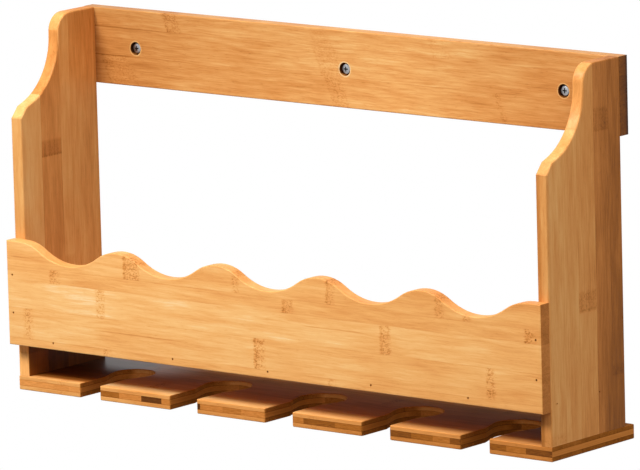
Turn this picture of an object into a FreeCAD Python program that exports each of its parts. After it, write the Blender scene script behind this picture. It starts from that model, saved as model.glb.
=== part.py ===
"""Bamboo wall rack for wine bottles and stemmed glasses, in millimetres.

The bottles stand on a shelf behind a front panel with a wavy top. The glasses hang upside down from the
bottom board, with their stems in its slots and their feet in the gap under the shelf. Three screws through
the back rail hold the rack on the wall.

The origin is where the middle wall screw meets the wall. X runs to the right as seen from the front,
Y into the wall and Z up, so the whole rack is at Y below zero, apart from the free ends of the wall screws.
"""
import FreeCAD, Part
import math
import os
import Sketcher

doc = FreeCAD.newDocument("bottle_and_glass_rack")
sheet = doc.addObject("Spreadsheet::Sheet", "Sizes")


# Driving dimensions, in millimetres and degrees
SIZES = {
    # The rack as a whole
    "overall_width": 600,  # over the outer faces of the side panels
    "side_depth": 105,  # side panel, from its back edge to its front edge
    "side_height": 322,  # side panel, above the glass board
    "side_thickness": 12,  # side panel

    # The S-shaped front edge of the side panels
    "sweep_reach": 54,  # how far the front edge sweeps out from the top of the panel to its foot
    "top_corner_radius": 17,  # rounded corner at the top of the front edge
    "upper_edge_length": 2,  # straight front edge under the rounded corner
    "hollow_radius": 60,  # hollow curve under the upper edge
    "sweep_angle": 69,  # turn from the upper edge to the slope, in degrees
    "shoulder_length": 13,  # bevel between the slope and the lower front edge
    "shoulder_angle": 41,  # bevel, from the upright, in degrees
    "side_edge_radius": 1.5,  # rounding of the side panel's front and top edges

    # The rail across the back
    "rail_height": 69,  # back rail
    "rail_thickness": 12,  # back rail

    # The front panel and its wavy top edge
    "front_thickness": 12,  # front panel
    "front_low_height": 77.5,  # front panel's height in the dips of the wave
    "wave_depth": 17.5,  # from the crests to the dips
    "wave_end": 15,  # straight end of the wave, from the last crest to the panel's end
    "crest_radius": 41,  # crests of the wave; the dips between them are flatter
    "edge_radius": 1,  # rounding of the other boards' edges

    # The shelf that the bottles stand on
    "shelf_thickness": 12,  # bottle shelf
    "foot_gap": 30.5,  # room for the glasses' feet, between the glass board and the shelf

    # The glass board and its slots
    "board_thickness": 13,  # glass board
    "slot_margin": 83.2,  # from the board's end to the middle of the outermost slot
    "slot_mouth": 30,  # width of a slot between its straight sides
    "narrow_slot_mouth": 22.5,  # the same of the leftmost slot
    "slot_throat": 35,  # length of the straight sides, from the front edge
    "chamber_radius": 22.5,  # round end of a slot
    "narrow_chamber_radius": 19.5,  # the same of the leftmost slot
    "funnel_length": 25.5,  # from the end of the straight sides to the centre of the round end
    "tongue_corner_radius": 2,  # corners of the tongues beside the slots

    # The wall screws in the rail
    "wall_screw_margin": 59.5,  # outer wall screws, from the rail's ends
    "recess_depth": 5,  # recess round a wall screw's head
    "recess_play": 3.6,  # how much wider the recess is than the head
    "wall_hole_play": 0.5,  # how much wider the hole under the recess is than the screw
    "wall_head_diameter": 8.4,  # wall screw's head
    "wall_head_height": 3,  # wall screw's head, at its rim
    "wall_head_crown": 0.6,  # how far the head's middle stands above its rim
    "wall_shank_diameter": 3.6,  # wall screw's plain shank, in the rail
    "wall_thread_diameter": 4.5,  # wall screw's threaded part, from the wall on
    "wall_thread_length": 24,  # threaded part, without its point
    "wall_point_length": 4,  # wall screw's point
    "cross_width": 1.2,  # arm of the cross recess in a screw's head
    "cross_span": 4.6,  # cross recess over two arms
    "cross_depth": 1.8,  # cross recess

    # The hidden countersunk screws through the glass board and the rail into the side panels
    "screw_diameter": 3.6,  # assembly screw
    "screw_length": 29,  # assembly screw with its head, without its point
    "screw_point_length": 3,  # assembly screw's point
    "screw_head_diameter": 6.8,  # assembly screw's countersunk head
    "screw_setback": 24,  # base screws, from the side panel's front and back edges
    "rail_screw_margin": 14,  # rail screws, from the rail's top and bottom edges

    # The brads that hold the front panel and the shelf
    "brad_diameter": 1.6,  # brad, and the hole it makes
    "brad_length": 25,  # brad
    "brad_sink": 1,  # how deep the brad's head lies under the surface
    "first_brad_margin": 52,  # leftmost brad through the front panel into the shelf, from the left end
    "second_brad_offset": 109,  # second brad, to the left of the middle
    "third_brad_offset": 1,  # third brad, to the left of the middle
    "fourth_brad_offset": 114,  # fourth brad, to the right of the middle
    "last_brad_margin": 80,  # rightmost brad, from the right end
    "side_brad_low": 29.5,  # lower brad into a side panel, above the front panel's bottom edge
    "side_brad_high": 64,  # upper brad into a side panel, above the front panel's bottom edge
    "shelf_brad_front": 8.5,  # front brad into the shelf's end, from the side panel's front edge
    "shelf_brad_back": 36,  # back brad into the shelf's end, from the side panel's back edge
}

for row, (name, value) in enumerate(SIZES.items(), start=1):
    sheet.set(f"A{row}", name)
    sheet.set(f"B{row}", str(value))
    sheet.setAlias(f"B{row}", name)
doc.recompute()

# Counts, and sizes that follow from the ones above
DIPS = 5
SLOTS = 5
UNDERSIDE = "-(Sizes.board_thickness + Sizes.side_height - Sizes.rail_height / 2)"
BOARD_TOP = "-(Sizes.side_height - Sizes.rail_height / 2)"
HALF_WIDTH = "Sizes.overall_width / 2"
RACK_DEPTH = "(Sizes.rail_thickness + Sizes.side_depth)"
SHELF_MIDDLE = "(Sizes.foot_gap + Sizes.shelf_thickness / 2)"
SIDE_CENTRE = "(Sizes.overall_width / 2 - Sizes.side_thickness / 2)"
SHELF_HALF_WIDTH = "(Sizes.overall_width / 2 - Sizes.side_thickness)"
TOP_DEPTH = "(Sizes.side_depth - Sizes.sweep_reach)"
WAVE_PITCH = f"((Sizes.overall_width - 2 * Sizes.wave_end) / {DIPS})"
DIP_RADIUS = f"({WAVE_PITCH} ^ 2 / (8 * Sizes.wave_depth) + Sizes.wave_depth / 2 - Sizes.crest_radius)"
SLOT_PITCH = f"((Sizes.overall_width - 2 * Sizes.slot_margin) / {SLOTS - 1})"
CHAMBER_DEPTH = "(Sizes.slot_throat + Sizes.funnel_length)"
WALL_SCREW_ACROSS = "(Sizes.overall_width / 2 - Sizes.wall_screw_margin)"
WALL_SCREW_SEAT = "(Sizes.rail_thickness - Sizes.recess_depth)"
SCREW_DEPTH = "(Sizes.screw_length + Sizes.screw_point_length)"
BRAD_DEPTH = "(Sizes.brad_sink + Sizes.brad_length)"
RAIL_SCREW_UP = "(Sizes.rail_height / 2 - Sizes.rail_screw_margin)"
FRONT_BRADS = (
    "-(Sizes.overall_width / 2 - Sizes.first_brad_margin)",
    "-Sizes.second_brad_offset",
    "-Sizes.third_brad_offset",
    "Sizes.fourth_brad_offset",
    "Sizes.overall_width / 2 - Sizes.last_brad_margin",
)
SIDE_BRADS = ("Sizes.side_brad_low", "Sizes.side_brad_high")
SHELF_BRADS = ("(Sizes.side_depth - Sizes.shelf_brad_front)", "Sizes.shelf_brad_back")
BASE_SCREWS = ("Sizes.screw_setback", "(Sizes.side_depth - Sizes.screw_setback)")


def amount(expression):
    """The present value of an expression of sheet sizes."""
    return float(sheet.evalExpression(expression))


# Sketching helpers. In a sketch, point 1 of a line or arc is its start, 2 its end and 3 its centre.
# Item -1 is the sketch's horizontal axis, whose point 1 is the origin, and item -2 is its vertical axis.


def plane(body, role):
    return next(feature for feature in body.Origin.OriginFeatures if feature.Role == role)


def new_body(label):
    body = doc.addObject("PartDesign::Body", label)
    body.Label = label
    return body


def new_sketch(body, role, name, offset=None):
    """A sketch on one of the body's own planes, moved along the plane's normal by an expression."""
    sketch = body.newObject("Sketcher::SketchObject", name)
    sketch.AttachmentSupport = (plane(body, role), [""])
    sketch.MapMode = "FlatFace"
    if offset:
        sketch.setExpression("AttachmentOffset.Base.z", offset)
    return sketch


def line(sketch, start, end):
    first = FreeCAD.Vector(start[0], start[1], 0)
    second = FreeCAD.Vector(end[0], end[1], 0)
    return sketch.addGeometry(Part.LineSegment(first, second), False)


def circle(sketch, centre, radius):
    middle = FreeCAD.Vector(centre[0], centre[1], 0)
    return sketch.addGeometry(Part.Circle(middle, FreeCAD.Vector(0, 0, 1), radius), False)


def arc(sketch, centre, radius, start, end):
    """An arc that runs anticlockwise from one angle to another, in degrees."""
    middle = FreeCAD.Vector(centre[0], centre[1], 0)
    whole = Part.Circle(middle, FreeCAD.Vector(0, 0, 1), radius)
    return sketch.addGeometry(Part.ArcOfCircle(whole, math.radians(start), math.radians(end)), False)


def meet(sketch, first, first_point, second, second_point):
    sketch.addConstraint(Sketcher.Constraint("Coincident", first, first_point, second, second_point))


def smooth(sketch, first, first_point, second, second_point):
    sketch.addConstraint(Sketcher.Constraint("Tangent", first, first_point, second, second_point))


def level(sketch, item):
    sketch.addConstraint(Sketcher.Constraint("Horizontal", item))


def upright(sketch, item):
    sketch.addConstraint(Sketcher.Constraint("Vertical", item))


def on_horizontal_axis(sketch, item, point):
    sketch.addConstraint(Sketcher.Constraint("PointOnObject", item, point, -1))


def on_vertical_axis(sketch, item, point):
    sketch.addConstraint(Sketcher.Constraint("PointOnObject", item, point, -2))


def dimension(sketch, kind, refs, expression):
    """A dimension that follows an expression of sheet sizes."""
    value = amount(expression)
    if kind == "Angle":
        value = math.radians(value)
    index = sketch.addConstraint(Sketcher.Constraint(kind, *refs, value))
    sketch.setExpression(f"Constraints[{index}]", expression)


def locate(sketch, item, point, across, up):
    """Holds a point at two coordinates. A coordinate of None leaves the point on that axis."""
    if across is None:
        on_vertical_axis(sketch, item, point)
    else:
        dimension(sketch, "DistanceX", (-1, 1, item, point), across)
    if up is None:
        on_horizontal_axis(sketch, item, point)
    else:
        dimension(sketch, "DistanceY", (-1, 1, item, point), up)


def rectangle(sketch, left, right, low, high):
    """A rectangle between four coordinates, each an expression or None for the axis."""
    def number(expression):
        return amount(expression) if expression else 0.0

    corners = [(number(left), number(low)), (number(right), number(low)),
               (number(right), number(high)), (number(left), number(high))]
    sides = [line(sketch, corners[i], corners[(i + 1) % 4]) for i in range(4)]
    for i in range(4):
        meet(sketch, sides[i], 2, sides[(i + 1) % 4], 1)
    level(sketch, sides[0])
    level(sketch, sides[2])
    upright(sketch, sides[1])
    upright(sketch, sides[3])
    locate(sketch, sides[0], 1, left, low)
    locate(sketch, sides[2], 1, right, high)


def pad(body, sketch, length, reverse=False):
    feature = body.newObject("PartDesign::Pad", f"{sketch.Name}_pad")
    feature.Profile = sketch
    feature.Reversed = reverse
    feature.setExpression("Length", length)
    doc.recompute()
    return feature


def pocket(body, sketch, depth, reverse=False):
    """A pocket as deep as an expression says. It has to take material away."""
    before = body.Shape.Volume
    feature = body.newObject("PartDesign::Pocket", f"{sketch.Name}_pocket")
    feature.Profile = sketch
    feature.Reversed = reverse
    feature.setExpression("Length", depth)
    doc.recompute()
    if body.Shape.Volume >= before:
        raise RuntimeError(f"{feature.Name} cuts nothing")
    return feature


def drill(body, role, name, centres, diameter, depth, offset=None, reverse=False):
    """Round holes at pairs of coordinates, all of one diameter and depth."""
    sketch = new_sketch(body, role, name, offset)
    for across, up in centres:
        middle = (amount(across) if across else 0.0, amount(up) if up else 0.0)
        item = circle(sketch, middle, amount(diameter) / 2)
        locate(sketch, item, 3, across, up)
        dimension(sketch, "Diameter", (item,), diameter)
    return pocket(body, sketch, depth, reverse)


def edges_where(feature, chosen):
    edges = enumerate(feature.Shape.Edges, start=1)
    return [f"Edge{number}" for number, edge in edges if chosen(edge)]


def round_edges(body, feature, chosen, radius, name):
    """Rounds the edges of a feature that a test picks."""
    fillet = body.newObject("PartDesign::Fillet", name)
    fillet.Base = (feature, edges_where(feature, chosen))
    fillet.setExpression("Radius", radius)
    doc.recompute()
    return fillet


def lies_at(edge, axis, value):
    """True if both ends of an edge, and its middle, are at one value along x, y or z."""
    middle = edge.valueAt((edge.FirstParameter + edge.LastParameter) / 2)
    points = [vertex.Point for vertex in edge.Vertexes] + [middle]
    return all(abs(getattr(point, axis) - value) < 1e-4 for point in points)


def countersink(body, holes, axis, name):
    """Widens the screw holes where they open on the face at zero along an axis."""
    radius = amount("Sizes.screw_diameter") / 2

    def rim(edge):
        return isinstance(edge.Curve, Part.Circle) and abs(edge.Curve.Radius - radius) < 1e-4 \
            and lies_at(edge, axis, 0)

    chamfer = body.newObject("PartDesign::Chamfer", name)
    chamfer.Base = (holes, edges_where(holes, rim))
    chamfer.setExpression("Size", "(Sizes.screw_head_diameter - Sizes.screw_diameter) / 2")
    doc.recompute()


# Side panels. In the body, Y runs from the back edge forward (below zero) and Z up from the glass board.
def side_outline(sketch):
    """The panel's profile: back edge, top, and the S-shaped front edge."""
    depth, height = amount("Sizes.side_depth"), amount("Sizes.side_height")
    top, corner = amount(TOP_DEPTH), amount("Sizes.top_corner_radius")
    hollow, shoulder = amount("Sizes.hollow_radius"), amount("Sizes.shoulder_length")
    sweep = amount("Sizes.sweep_angle")
    turn, tilt = math.radians(sweep), math.radians(amount("Sizes.shoulder_angle"))
    upper = height - corner - amount("Sizes.upper_edge_length")
    slope_start = (-top - hollow * (1 - math.cos(turn)), upper - hollow * math.sin(turn))
    run = depth + slope_start[0] - shoulder * math.sin(tilt)
    slope_end = (slope_start[0] - run, slope_start[1] - run / math.tan(turn))
    shoulder_low = slope_end[1] - shoulder * math.cos(tilt)

    bottom = line(sketch, (-depth, 0), (0, 0))
    back = line(sketch, (0, 0), (0, height))
    lid = line(sketch, (0, height), (-top + corner, height))
    top_corner = arc(sketch, (-top + corner, height - corner), corner, 90, 180)
    upper_edge = line(sketch, (-top, height - corner), (-top, upper))
    hollow_arc = arc(sketch, (-top - hollow, upper), hollow, -sweep, 0)
    slope = line(sketch, slope_start, slope_end)
    bevel = line(sketch, slope_end, (-depth, shoulder_low))
    lower_edge = line(sketch, (-depth, shoulder_low), (-depth, 0))

    meet(sketch, bottom, 2, back, 1)
    meet(sketch, back, 2, lid, 1)
    smooth(sketch, lid, 2, top_corner, 1)
    smooth(sketch, top_corner, 2, upper_edge, 1)
    smooth(sketch, upper_edge, 2, hollow_arc, 2)
    smooth(sketch, hollow_arc, 1, slope, 1)
    meet(sketch, slope, 2, bevel, 1)
    meet(sketch, bevel, 2, lower_edge, 1)
    meet(sketch, lower_edge, 2, bottom, 1)
    locate(sketch, bottom, 2, None, None)
    level(sketch, bottom)
    upright(sketch, back)
    level(sketch, lid)
    upright(sketch, upper_edge)
    upright(sketch, lower_edge)
    dimension(sketch, "DistanceX", (bottom, 1, bottom, 2), "Sizes.side_depth")
    dimension(sketch, "DistanceY", (back, 1, back, 2), "Sizes.side_height")
    dimension(sketch, "DistanceX", (upper_edge, 1, back, 2), TOP_DEPTH)
    dimension(sketch, "Radius", (top_corner,), "Sizes.top_corner_radius")
    dimension(sketch, "Distance", (upper_edge,), "Sizes.upper_edge_length")
    dimension(sketch, "Radius", (hollow_arc,), "Sizes.hollow_radius")
    dimension(sketch, "Distance", (bevel,), "Sizes.shoulder_length")
    dimension(sketch, "Angle", (upper_edge, 1, slope, 2), "180 - Sizes.sweep_angle")
    dimension(sketch, "Angle", (lower_edge, 1, bevel, 2), "180 - Sizes.shoulder_angle")


def side_panel(label, left_face):
    body = new_body(label)
    outline = new_sketch(body, "YZ_Plane", f"{label}_outline")
    side_outline(outline)
    board = pad(body, outline, "Sizes.side_thickness")
    thickness = amount("Sizes.side_thickness")

    def outer_edge(edge):
        on_face = lies_at(edge, "x", 0) or lies_at(edge, "x", thickness)
        return on_face and not lies_at(edge, "y", 0) and not lies_at(edge, "z", 0)

    round_edges(body, board, outer_edge, "Sizes.side_edge_radius", f"{label}_rounding")
    middle = "Sizes.side_thickness / 2"
    drill(body, "YZ_Plane", f"{label}_shelf_brad_holes", [(f"-{back}", SHELF_MIDDLE) for back in SHELF_BRADS],
          "Sizes.brad_diameter", "Sizes.side_thickness", reverse=True)
    drill(body, "XZ_Plane", f"{label}_front_brad_holes",
          [(middle, f"Sizes.foot_gap + {height}") for height in SIDE_BRADS],
          "Sizes.brad_diameter", f"{BRAD_DEPTH} - Sizes.front_thickness", offset="Sizes.side_depth")
    rail_middle = "Sizes.side_height - Sizes.rail_height / 2"
    drill(body, "XZ_Plane", f"{label}_rail_screw_holes",
          [(middle, f"{rail_middle} {sign} {RAIL_SCREW_UP}") for sign in ("-", "+")],
          "Sizes.screw_diameter", f"{SCREW_DEPTH} - Sizes.rail_thickness", reverse=True)
    drill(body, "XY_Plane", f"{label}_base_screw_holes", [(middle, f"-{back}") for back in BASE_SCREWS],
          "Sizes.screw_diameter", f"{SCREW_DEPTH} - Sizes.board_thickness", reverse=True)
    body.setExpression("Placement.Base.x", left_face)
    body.setExpression("Placement.Base.y", "-Sizes.rail_thickness")
    body.setExpression("Placement.Base.z", BOARD_TOP)
    return body


# Back rail. In the body, the back face is at Y zero, and Z zero is at half its height.
def back_rail():
    body = new_body("back_rail")
    outline = new_sketch(body, "XZ_Plane", "rail_outline")
    rectangle(outline, f"-{HALF_WIDTH}", HALF_WIDTH, "-Sizes.rail_height / 2", "Sizes.rail_height / 2")
    board = pad(body, outline, "Sizes.rail_thickness")
    front = -amount("Sizes.rail_thickness")
    round_edges(body, board, lambda edge: lies_at(edge, "y", front), "Sizes.edge_radius", "rail_rounding")
    centres = [(f"-{WALL_SCREW_ACROSS}", None), (None, None), (WALL_SCREW_ACROSS, None)]
    drill(body, "XZ_Plane", "rail_wall_holes", centres,
          "Sizes.wall_thread_diameter + Sizes.wall_hole_play", "Sizes.rail_thickness", reverse=True)
    drill(body, "XZ_Plane", "rail_recesses", centres,
          "Sizes.wall_head_diameter + Sizes.recess_play", "Sizes.recess_depth",
          offset="Sizes.rail_thickness")
    centres = [(f"{side}{SIDE_CENTRE}", f"{sign}{RAIL_SCREW_UP}") for side in ("-", "") for sign in ("-", "")]
    holes = drill(body, "XZ_Plane", "rail_screw_holes", centres, "Sizes.screw_diameter",
                  "Sizes.rail_thickness", reverse=True)
    countersink(body, holes, "y", "rail_countersinks")
    return body


# Front panel. In the body, the back face is at Y zero and Z runs up from the bottom edge.
def wave_outline(sketch):
    """The panel's outline. Arcs of two radii, turn and turn about, make the wave's crests and dips."""
    half = amount(HALF_WIDTH)
    pitch, low = amount(WAVE_PITCH), amount("Sizes.front_low_height")
    high = low + amount("Sizes.wave_depth")
    crest, dip = amount("Sizes.crest_radius"), amount(DIP_RADIUS)
    swing = math.degrees(math.asin(pitch / 2 / (crest + dip)))
    last_crest = DIPS * pitch / 2

    bottom = line(sketch, (-half, 0), (half, 0))
    right = line(sketch, (half, 0), (half, high))
    right_flat = line(sketch, (half, high), (last_crest, high))
    crests = []
    dips = []
    for number in range(DIPS + 1):
        across = last_crest - number * pitch
        start = 90 if number == 0 else 90 - swing
        end = 90 if number == DIPS else 90 + swing
        crests.append(arc(sketch, (across, high - crest), crest, start, end))
    for number in range(DIPS):
        across = last_crest - (number + 0.5) * pitch
        dips.append(arc(sketch, (across, low + dip), dip, 270 - swing, 270 + swing))
    left_flat = line(sketch, (-last_crest, high), (-half, high))
    left = line(sketch, (-half, high), (-half, 0))

    meet(sketch, bottom, 2, right, 1)
    meet(sketch, right, 2, right_flat, 1)
    smooth(sketch, right_flat, 2, crests[0], 1)
    for number in range(DIPS):
        smooth(sketch, crests[number], 2, dips[number], 2)
        smooth(sketch, dips[number], 1, crests[number + 1], 1)
    smooth(sketch, crests[DIPS], 2, left_flat, 1)
    meet(sketch, left_flat, 2, left, 1)
    meet(sketch, left, 2, bottom, 1)
    upright(sketch, right)
    upright(sketch, left)
    level(sketch, right_flat)
    level(sketch, left_flat)
    sketch.addConstraint(Sketcher.Constraint("Symmetric", bottom, 1, bottom, 2, -1, 1))
    level(sketch, bottom)
    dimension(sketch, "DistanceX", (bottom, 1, bottom, 2), "Sizes.overall_width")
    dimension(sketch, "DistanceY", (right, 1, right, 2), "Sizes.front_low_height + Sizes.wave_depth")
    sketch.addConstraint(Sketcher.Constraint("Equal", right, left))
    dimension(sketch, "Radius", (crests[0],), "Sizes.crest_radius")
    for item in crests[1:]:
        sketch.addConstraint(Sketcher.Constraint("Equal", crests[0], item))
    dimension(sketch, "Radius", (dips[0],), DIP_RADIUS)
    for item in dips[1:]:
        sketch.addConstraint(Sketcher.Constraint("Equal", dips[0], item))
    for number in range(DIPS - 1):
        sketch.addConstraint(Sketcher.Constraint("Horizontal", dips[number], 3, dips[number + 1], 3))
        dimension(sketch, "DistanceX", (dips[number + 1], 3, dips[number], 3), WAVE_PITCH)
    on_vertical_axis(sketch, dips[DIPS // 2], 3)
    dimension(sketch, "DistanceX", (dips[0], 3, crests[0], 3), f"{WAVE_PITCH} / 2")


def front_panel():
    body = new_body("front_panel")
    outline = new_sketch(body, "XZ_Plane", "front_outline")
    wave_outline(outline)
    board = pad(body, outline, "Sizes.front_thickness")
    front = -amount("Sizes.front_thickness")

    def rounded(edge):
        on_back = lies_at(edge, "y", 0) and not lies_at(edge, "z", 0)
        return lies_at(edge, "y", front) or on_back

    round_edges(body, board, rounded, "Sizes.edge_radius", "front_rounding")
    shelf_brads = [(across, "Sizes.shelf_thickness / 2") for across in FRONT_BRADS]
    side_brads = [(f"{side}{SIDE_CENTRE}", height) for side in ("-", "") for height in SIDE_BRADS]
    drill(body, "XZ_Plane", "front_brad_holes", shelf_brads + side_brads, "Sizes.brad_diameter",
          "Sizes.front_thickness", reverse=True)
    body.setExpression("Placement.Base.y", f"-{RACK_DEPTH}")
    body.setExpression("Placement.Base.z", f"{BOARD_TOP} + Sizes.foot_gap")
    return body


# Bottle shelf. In the body, the back edge is at Y zero and Z runs up from the underside.
def bottle_shelf():
    body = new_body("bottle_shelf")
    outline = new_sketch(body, "XY_Plane", "shelf_outline")
    rectangle(outline, f"-{SHELF_HALF_WIDTH}", SHELF_HALF_WIDTH, "-Sizes.side_depth", None)
    board = pad(body, outline, "Sizes.shelf_thickness")

    def long_back_edge(edge):
        return lies_at(edge, "y", 0) and not lies_at(edge, "x", edge.Vertexes[0].X)

    round_edges(body, board, long_back_edge, "Sizes.edge_radius", "shelf_rounding")
    middle = "Sizes.shelf_thickness / 2"
    drill(body, "XZ_Plane", "shelf_front_holes", [(across, middle) for across in FRONT_BRADS],
          "Sizes.brad_diameter", f"{BRAD_DEPTH} - Sizes.front_thickness", offset="Sizes.side_depth")
    ends = [(f"-{back}", middle) for back in SHELF_BRADS]
    end_depth = f"{BRAD_DEPTH} - Sizes.side_thickness"
    drill(body, "YZ_Plane", "shelf_right_holes", ends, "Sizes.brad_diameter", end_depth,
          offset=SHELF_HALF_WIDTH)
    drill(body, "YZ_Plane", "shelf_left_holes", ends, "Sizes.brad_diameter", end_depth,
          offset=f"-{SHELF_HALF_WIDTH}", reverse=True)
    body.setExpression("Placement.Base.y", "-Sizes.rail_thickness")
    body.setExpression("Placement.Base.z", f"{BOARD_TOP} + Sizes.foot_gap")
    return body


# Glass board. In the body, the back edge is at Y zero and Z runs up from the underside.
def slot_outline(sketch, centre, mouth, chamber):
    """A slot that is open at the front: straight sides that then spread to meet a round end."""
    across, half, radius = amount(centre), amount(mouth) / 2, amount(chamber)
    front = -amount(RACK_DEPTH)
    throat = front + amount("Sizes.slot_throat")
    funnel = amount("Sizes.funnel_length")
    heart = throat + funnel
    # The funnel's side runs from the end of the straight side to where it touches the round end.
    touch_turn = math.acos(radius / math.hypot(half, funnel)) - math.atan2(funnel, half)
    touch = (radius * math.cos(touch_turn), radius * math.sin(touch_turn))
    touch_angle = math.degrees(touch_turn)

    lip = line(sketch, (across - half, front), (across + half, front))
    right = line(sketch, (across + half, front), (across + half, throat))
    right_funnel = line(sketch, (across + half, throat), (across + touch[0], heart + touch[1]))
    end = arc(sketch, (across, heart), radius, touch_angle, 180 - touch_angle)
    left_funnel = line(sketch, (across - touch[0], heart + touch[1]), (across - half, throat))
    left = line(sketch, (across - half, throat), (across - half, front))
    meet(sketch, lip, 2, right, 1)
    meet(sketch, right, 2, right_funnel, 1)
    smooth(sketch, right_funnel, 2, end, 1)
    smooth(sketch, end, 2, left_funnel, 1)
    meet(sketch, left_funnel, 2, left, 1)
    meet(sketch, left, 2, lip, 1)
    level(sketch, lip)
    upright(sketch, right)
    upright(sketch, left)
    locate(sketch, end, 3, centre, f"{CHAMBER_DEPTH} - {RACK_DEPTH}")
    dimension(sketch, "DistanceY", (-1, 1, lip, 1), f"-{RACK_DEPTH}")
    dimension(sketch, "DistanceX", (lip, 1, lip, 2), mouth)
    dimension(sketch, "DistanceX", (lip, 1, end, 3), f"{mouth} / 2")
    dimension(sketch, "DistanceY", (right, 1, right, 2), "Sizes.slot_throat")
    sketch.addConstraint(Sketcher.Constraint("Equal", right, left))
    dimension(sketch, "Radius", (end,), chamber)


def glass_board():
    body = new_body("glass_board")
    outline = new_sketch(body, "XY_Plane", "board_outline")
    rectangle(outline, f"-{HALF_WIDTH}", HALF_WIDTH, f"-{RACK_DEPTH}", None)
    pad(body, outline, "Sizes.board_thickness")
    first = f"-({HALF_WIDTH} - Sizes.slot_margin)"
    narrow = new_sketch(body, "XY_Plane", "narrow_slot")
    slot_outline(narrow, first, "Sizes.narrow_slot_mouth", "Sizes.narrow_chamber_radius")
    pocket(body, narrow, "Sizes.board_thickness", reverse=True)
    wide = new_sketch(body, "XY_Plane", "wide_slot")
    slot_outline(wide, f"{first} + {SLOT_PITCH}", "Sizes.slot_mouth", "Sizes.chamber_radius")
    first_wide = pocket(body, wide, "Sizes.board_thickness", reverse=True)
    wide_slots = body.newObject("PartDesign::LinearPattern", "wide_slots")
    wide_slots.Originals = [first_wide]
    wide_slots.Direction = (wide, ["H_Axis"])
    wide_slots.Occurrences = SLOTS - 1
    wide_slots.setExpression("Length", f"{SLOTS - 2} * {SLOT_PITCH}")
    body.Tip = wide_slots
    doc.recompute()
    front, half, top = -amount(RACK_DEPTH), amount(HALF_WIDTH), amount("Sizes.board_thickness")

    def tongue_corner(edge):
        across = edge.Vertexes[0].X
        return lies_at(edge, "x", across) and lies_at(edge, "y", front) and abs(across) < half - 1e-4

    corners = round_edges(body, wide_slots, tongue_corner, "Sizes.tongue_corner_radius", "tongue_corners")

    def face_edge(edge):
        return lies_at(edge, "z", 0) or lies_at(edge, "z", top)

    round_edges(body, corners, face_edge, "Sizes.edge_radius", "board_rounding")
    centres = [(f"{side}{SIDE_CENTRE}", f"-(Sizes.rail_thickness + {back})")
               for side in ("-", "") for back in BASE_SCREWS]
    holes = drill(body, "XY_Plane", "board_screw_holes", centres, "Sizes.screw_diameter",
                  "Sizes.board_thickness", reverse=True)
    countersink(body, holes, "z", "board_countersinks")
    body.setExpression("Placement.Base.z", UNDERSIDE)
    return body


# Wall screws. In the body, the shank runs along Y and meets the wall at Y zero.
def wall_screw(label, across):
    body = new_body(label)
    profile = new_sketch(body, "YZ_Plane", f"{label}_profile")
    seat, rim = amount(WALL_SCREW_SEAT), amount(f"{WALL_SCREW_SEAT} + Sizes.wall_head_height")
    head, shank = amount("Sizes.wall_head_diameter") / 2, amount("Sizes.wall_shank_diameter") / 2
    thread, length = amount("Sizes.wall_thread_diameter") / 2, amount("Sizes.wall_thread_length")
    crown, tip = amount("Sizes.wall_head_crown"), length + amount("Sizes.wall_point_length")
    dome_radius = (head ** 2 + crown ** 2) / (2 * crown)
    dome_angle = math.degrees(math.asin(head / dome_radius))

    corners = [(-rim, head), (-seat, head), (-seat, shank), (0, shank), (0, thread), (length, thread),
               (tip, 0), (-rim - crown, 0)]
    lines = [line(profile, start, end) for start, end in zip(corners, corners[1:])]
    rim_line, seat_line, shank_line, step_line, thread_line, point_line, axis_line = lines
    dome = arc(profile, (-rim - crown + dome_radius, 0), dome_radius, 180 - dome_angle, 180)
    for first, second in zip(lines, lines[1:]):
        meet(profile, first, 2, second, 1)
    meet(profile, axis_line, 2, dome, 2)
    meet(profile, dome, 1, rim_line, 1)
    for item in (rim_line, shank_line, thread_line):
        level(profile, item)
    for item in (seat_line, step_line):
        upright(profile, item)
    for item, point in ((axis_line, 1), (axis_line, 2), (dome, 3)):
        on_horizontal_axis(profile, item, point)
    locate(profile, rim_line, 2, f"-{WALL_SCREW_SEAT}", "Sizes.wall_head_diameter / 2")
    locate(profile, shank_line, 2, None, "Sizes.wall_shank_diameter / 2")
    locate(profile, thread_line, 2, "Sizes.wall_thread_length", "Sizes.wall_thread_diameter / 2")
    dimension(profile, "DistanceX", (rim_line, 1, rim_line, 2), "Sizes.wall_head_height")
    dimension(profile, "DistanceX", (axis_line, 2, rim_line, 1), "Sizes.wall_head_crown")
    dimension(profile, "DistanceX", (thread_line, 2, axis_line, 1), "Sizes.wall_point_length")
    turned = body.newObject("PartDesign::Revolution", f"{label}_turned")
    turned.Profile = profile
    turned.ReferenceAxis = (profile, ["H_Axis"])
    turned.Angle = 360
    doc.recompute()

    top = f"{WALL_SCREW_SEAT} + Sizes.wall_head_height + Sizes.wall_head_crown"
    arms = (("flat_arm", "Sizes.cross_span", "Sizes.cross_width"),
            ("upright_arm", "Sizes.cross_width", "Sizes.cross_span"))
    for name, wide, high in arms:
        arm = new_sketch(body, "XZ_Plane", f"{label}_{name}", offset=top)
        rectangle(arm, f"-{wide} / 2", f"{wide} / 2", f"-{high} / 2", f"{high} / 2")
        pocket(body, arm, "Sizes.cross_depth")
    if across:
        body.setExpression("Placement.Base.x", across)
    return body


# Brads and assembly screws. Each is made along Z from its head on, then turned and put in its place.
TO_THE_BACK = FreeCAD.Rotation(FreeCAD.Vector(1, 0, 0), -90)
TO_THE_FRONT = FreeCAD.Rotation(FreeCAD.Vector(1, 0, 0), 90)
TO_THE_RIGHT = FreeCAD.Rotation(FreeCAD.Vector(0, 1, 0), 90)
TO_THE_LEFT = FreeCAD.Rotation(FreeCAD.Vector(0, 1, 0), -90)
UPWARD = FreeCAD.Rotation()


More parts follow.
